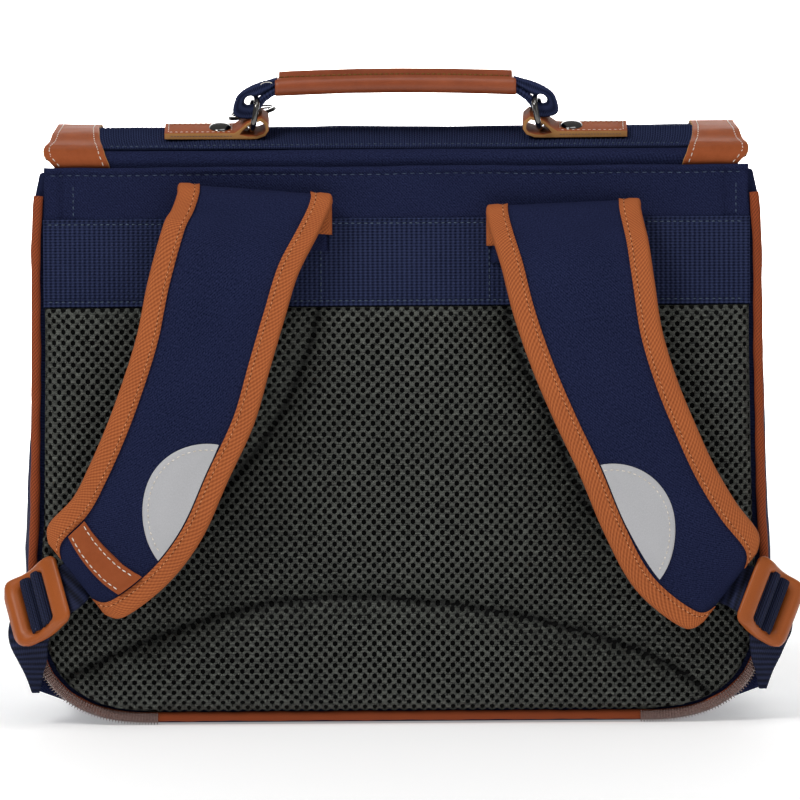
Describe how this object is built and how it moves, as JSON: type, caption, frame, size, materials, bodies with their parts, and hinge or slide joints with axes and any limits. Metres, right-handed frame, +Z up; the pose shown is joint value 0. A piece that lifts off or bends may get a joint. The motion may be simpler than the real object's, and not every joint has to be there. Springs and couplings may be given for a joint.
{
  "type": "school ransel",
  "caption": "Navy canvas school satchel worn on the back, with a mesh back pad, tan bound shoulder straps, tan leather trim and a carrying handle.",
  "frame": {"origin": "middle of the flat base, where the bag stands", "axes": "+Z up, +X along the width to the right as seen from the wearer's side, -Y out of the wearer's side with the shoulder straps"},
  "size_m": [0.4153, 0.1919, 0.3355],
  "materials": {
    "navy_twill": "matt twill",
    "navy_webbing": "coarse woven",
    "spacer_mesh": "matt knitted mesh",
    "tan_tape": "ribbed tape",
    "tan_leather": "satin",
    "tan_plastic": "moulded",
    "clear_plastic": "translucent",
    "reflective": "silver coated",
    "black_nickel": "black nickel"
  },
  "bodies": {
    "root": {"body_shell": "navy_twill", "lid_flap": "navy_twill", "back_pad": "spacer_mesh", "yoke_panel": "navy_twill", "yoke_webbing": "navy_webbing", "edge_piping": "tan_tape", "lid_webbing": "navy_webbing", "handle_grip": "tan_leather", "handle_webbing": "navy_webbing", "split_ring": "black_nickel", "strap_label": "tan_leather", "corner_guard_left": "clear_plastic", "lid_band_left": "tan_leather", "shoulder_strap_left": "navy_twill", "strap_binding_left_outer": "tan_tape", "strap_binding_left_inner": "tan_tape", "reflector_left": "reflective", "strap_web_left": "navy_webbing", "buckle_left": "tan_plastic", "lower_web_left": "navy_webbing", "web_anchor_left": "navy_twill", "handle_ring_left": "black_nickel", "handle_tab_left": "tan_leather", "tab_rivet_left": "black_nickel", "flap_clasp_left": "tan_plastic", "corner_guard_right": "clear_plastic", "lid_band_right": "tan_leather", "shoulder_strap_right": "navy_twill", "strap_binding_right_outer": "tan_tape", "strap_binding_right_inner": "tan_tape", "reflector_right": "reflective", "strap_web_right": "navy_webbing", "buckle_right": "tan_plastic", "lower_web_right": "navy_webbing", "web_anchor_right": "navy_twill", "handle_ring_right": "black_nickel", "handle_tab_right": "tan_leather", "tab_rivet_right": "black_nickel", "flap_clasp_right": "tan_plastic"}
  },
  "joints": []
}
